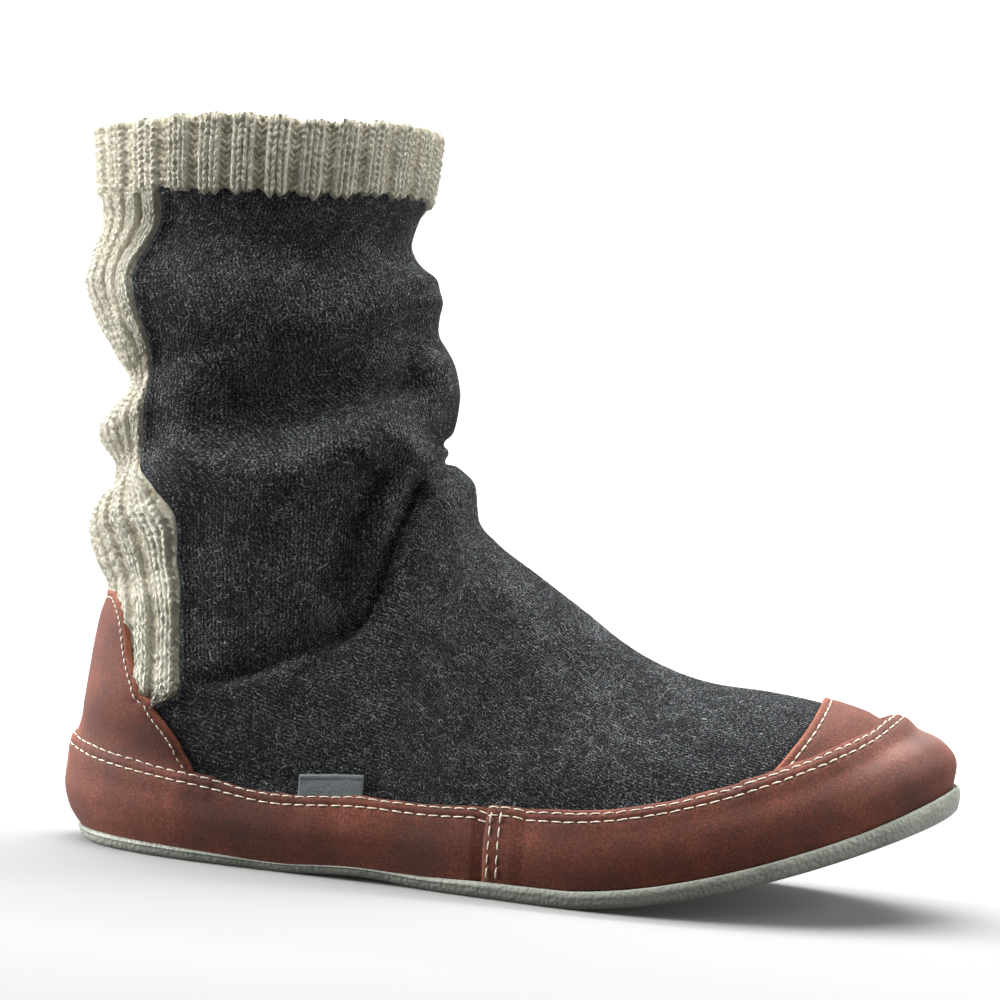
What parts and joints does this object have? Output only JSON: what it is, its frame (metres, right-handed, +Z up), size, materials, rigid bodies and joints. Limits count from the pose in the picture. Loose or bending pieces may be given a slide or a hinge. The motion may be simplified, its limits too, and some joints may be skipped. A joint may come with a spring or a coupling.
{
  "type": "slipper sock",
  "caption": "Knit slipper sock for the right foot: slouched shaft, ribbed cuff and back panel, suede rand, heel counter and toe cap, on a low rubber sole.",
  "frame": {"origin": "middle of the bounding box seen from above, on the floor under the sole", "axes": "+X from heel to toe, +Y toward the inner side of the foot, +Z up"},
  "size_m": [0.2807, 0.0982, 0.2229],
  "materials": {
    "rubber": "matte moulded, fine pebbled side",
    "footbed_fleece": "soft brushed pile over foam",
    "charcoal_knit": "heathered wool knit, lightly felted",
    "cream_rib": "ragg wool rib knit, two plain and one purl",
    "suede": "oiled suede with a short nap",
    "woven_tape": "fine woven tape"
  },
  "bodies": {
    "root": {"outsole": "rubber", "insole": "footbed_fleece", "upper": "charcoal_knit", "back_panel": "cream_rib", "ribbed_cuff": "cream_rib", "heel_counter": "suede", "toe_cap": "suede", "rand_rear": "suede", "rand_front": "suede", "side_tab": "woven_tape"}
  },
  "joints": []
}
